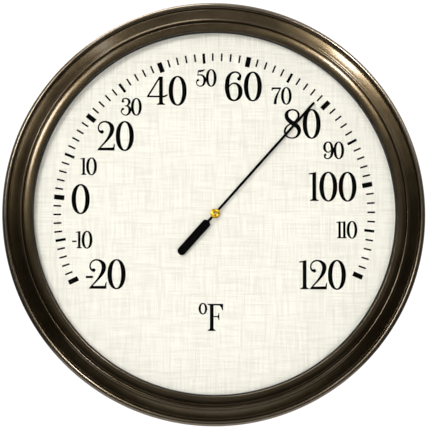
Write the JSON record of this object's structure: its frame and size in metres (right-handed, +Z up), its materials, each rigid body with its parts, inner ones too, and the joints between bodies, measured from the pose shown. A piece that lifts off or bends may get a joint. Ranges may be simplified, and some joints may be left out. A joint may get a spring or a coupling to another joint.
{
  "type": "dial thermometer",
  "caption": "Large round wall thermometer with a terraced bronze bezel, a linen-textured Fahrenheit dial and a needle driven by a bimetal coil.",
  "frame": {"origin": "on the dial's axis, in the plane of the wall that the back rim rests on", "axes": "+Z up, dial facing -Y, +Y into the wall, +X to the reader's right"},
  "size_m": [0.343, 0.033, 0.343],
  "materials": {
    "bronze_case": "dark bronze metallic paint, satin with a fine grain",
    "clear_glass": "clear float glass",
    "black_rubber": "matte",
    "black_plastic": "matte",
    "dial_card": "cream card printed with a linen weave, matte",
    "black_ink": "screen-printed ink, matte",
    "dial_sheet": "mill finish sheet",
    "cover_plastic": "fine moulded texture",
    "zinc_steel": "zinc plated",
    "brass": "polished, lightly turned",
    "bimetal": "rolled strip, faintly coppery",
    "needle_black": "matte black paint on aluminium"
  },
  "bodies": {
    "case": {"bezel": "bronze_case", "lens": "clear_glass", "lens_gasket": "black_rubber", "lens_spacer_ring": "black_plastic", "dial_card": "dial_card", "scale_ticks": "black_ink", "dial_plate": "dial_sheet", "rear_cover": "cover_plastic", "rear_cover_screws": "zinc_steel", "hanger_plate": "zinc_steel", "hanger_rivets": "zinc_steel", "movement_plate": "zinc_steel", "movement_screws": "zinc_steel", "front_bush": "brass", "bridge_pillars": "brass", "rear_bridge": "zinc_steel", "bridge_screws": "zinc_steel", "friction_washer": "zinc_steel"},
    "adjuster": {"adjuster_hub": "brass", "adjuster_clip": "zinc_steel", "adjuster_arm": "zinc_steel", "coil_anchor_pin": "brass", "bimetal_coil": "bimetal"},
    "needle": {"coil_collet": "brass", "arbor": "zinc_steel", "pointer_hub": "brass", "pointer": "needle_black"}
  },
  "joints": [
    {"name": "calibration_turn", "type": "hinge", "parent": "case", "child": "adjuster", "pos_m": [0, -0.009, 0], "axis": [0, 1, 0], "range_deg": [-15, 15]},
    {"name": "pointer_turn", "type": "hinge", "parent": "adjuster", "child": "needle", "pos_m": [0, -0.019, 0], "axis": [0, 1, 0], "range_deg": [-157, 71.5], "stiffness_Nm_per_rad": 0.015, "deforming": ["bimetal_coil"]}
  ]
}
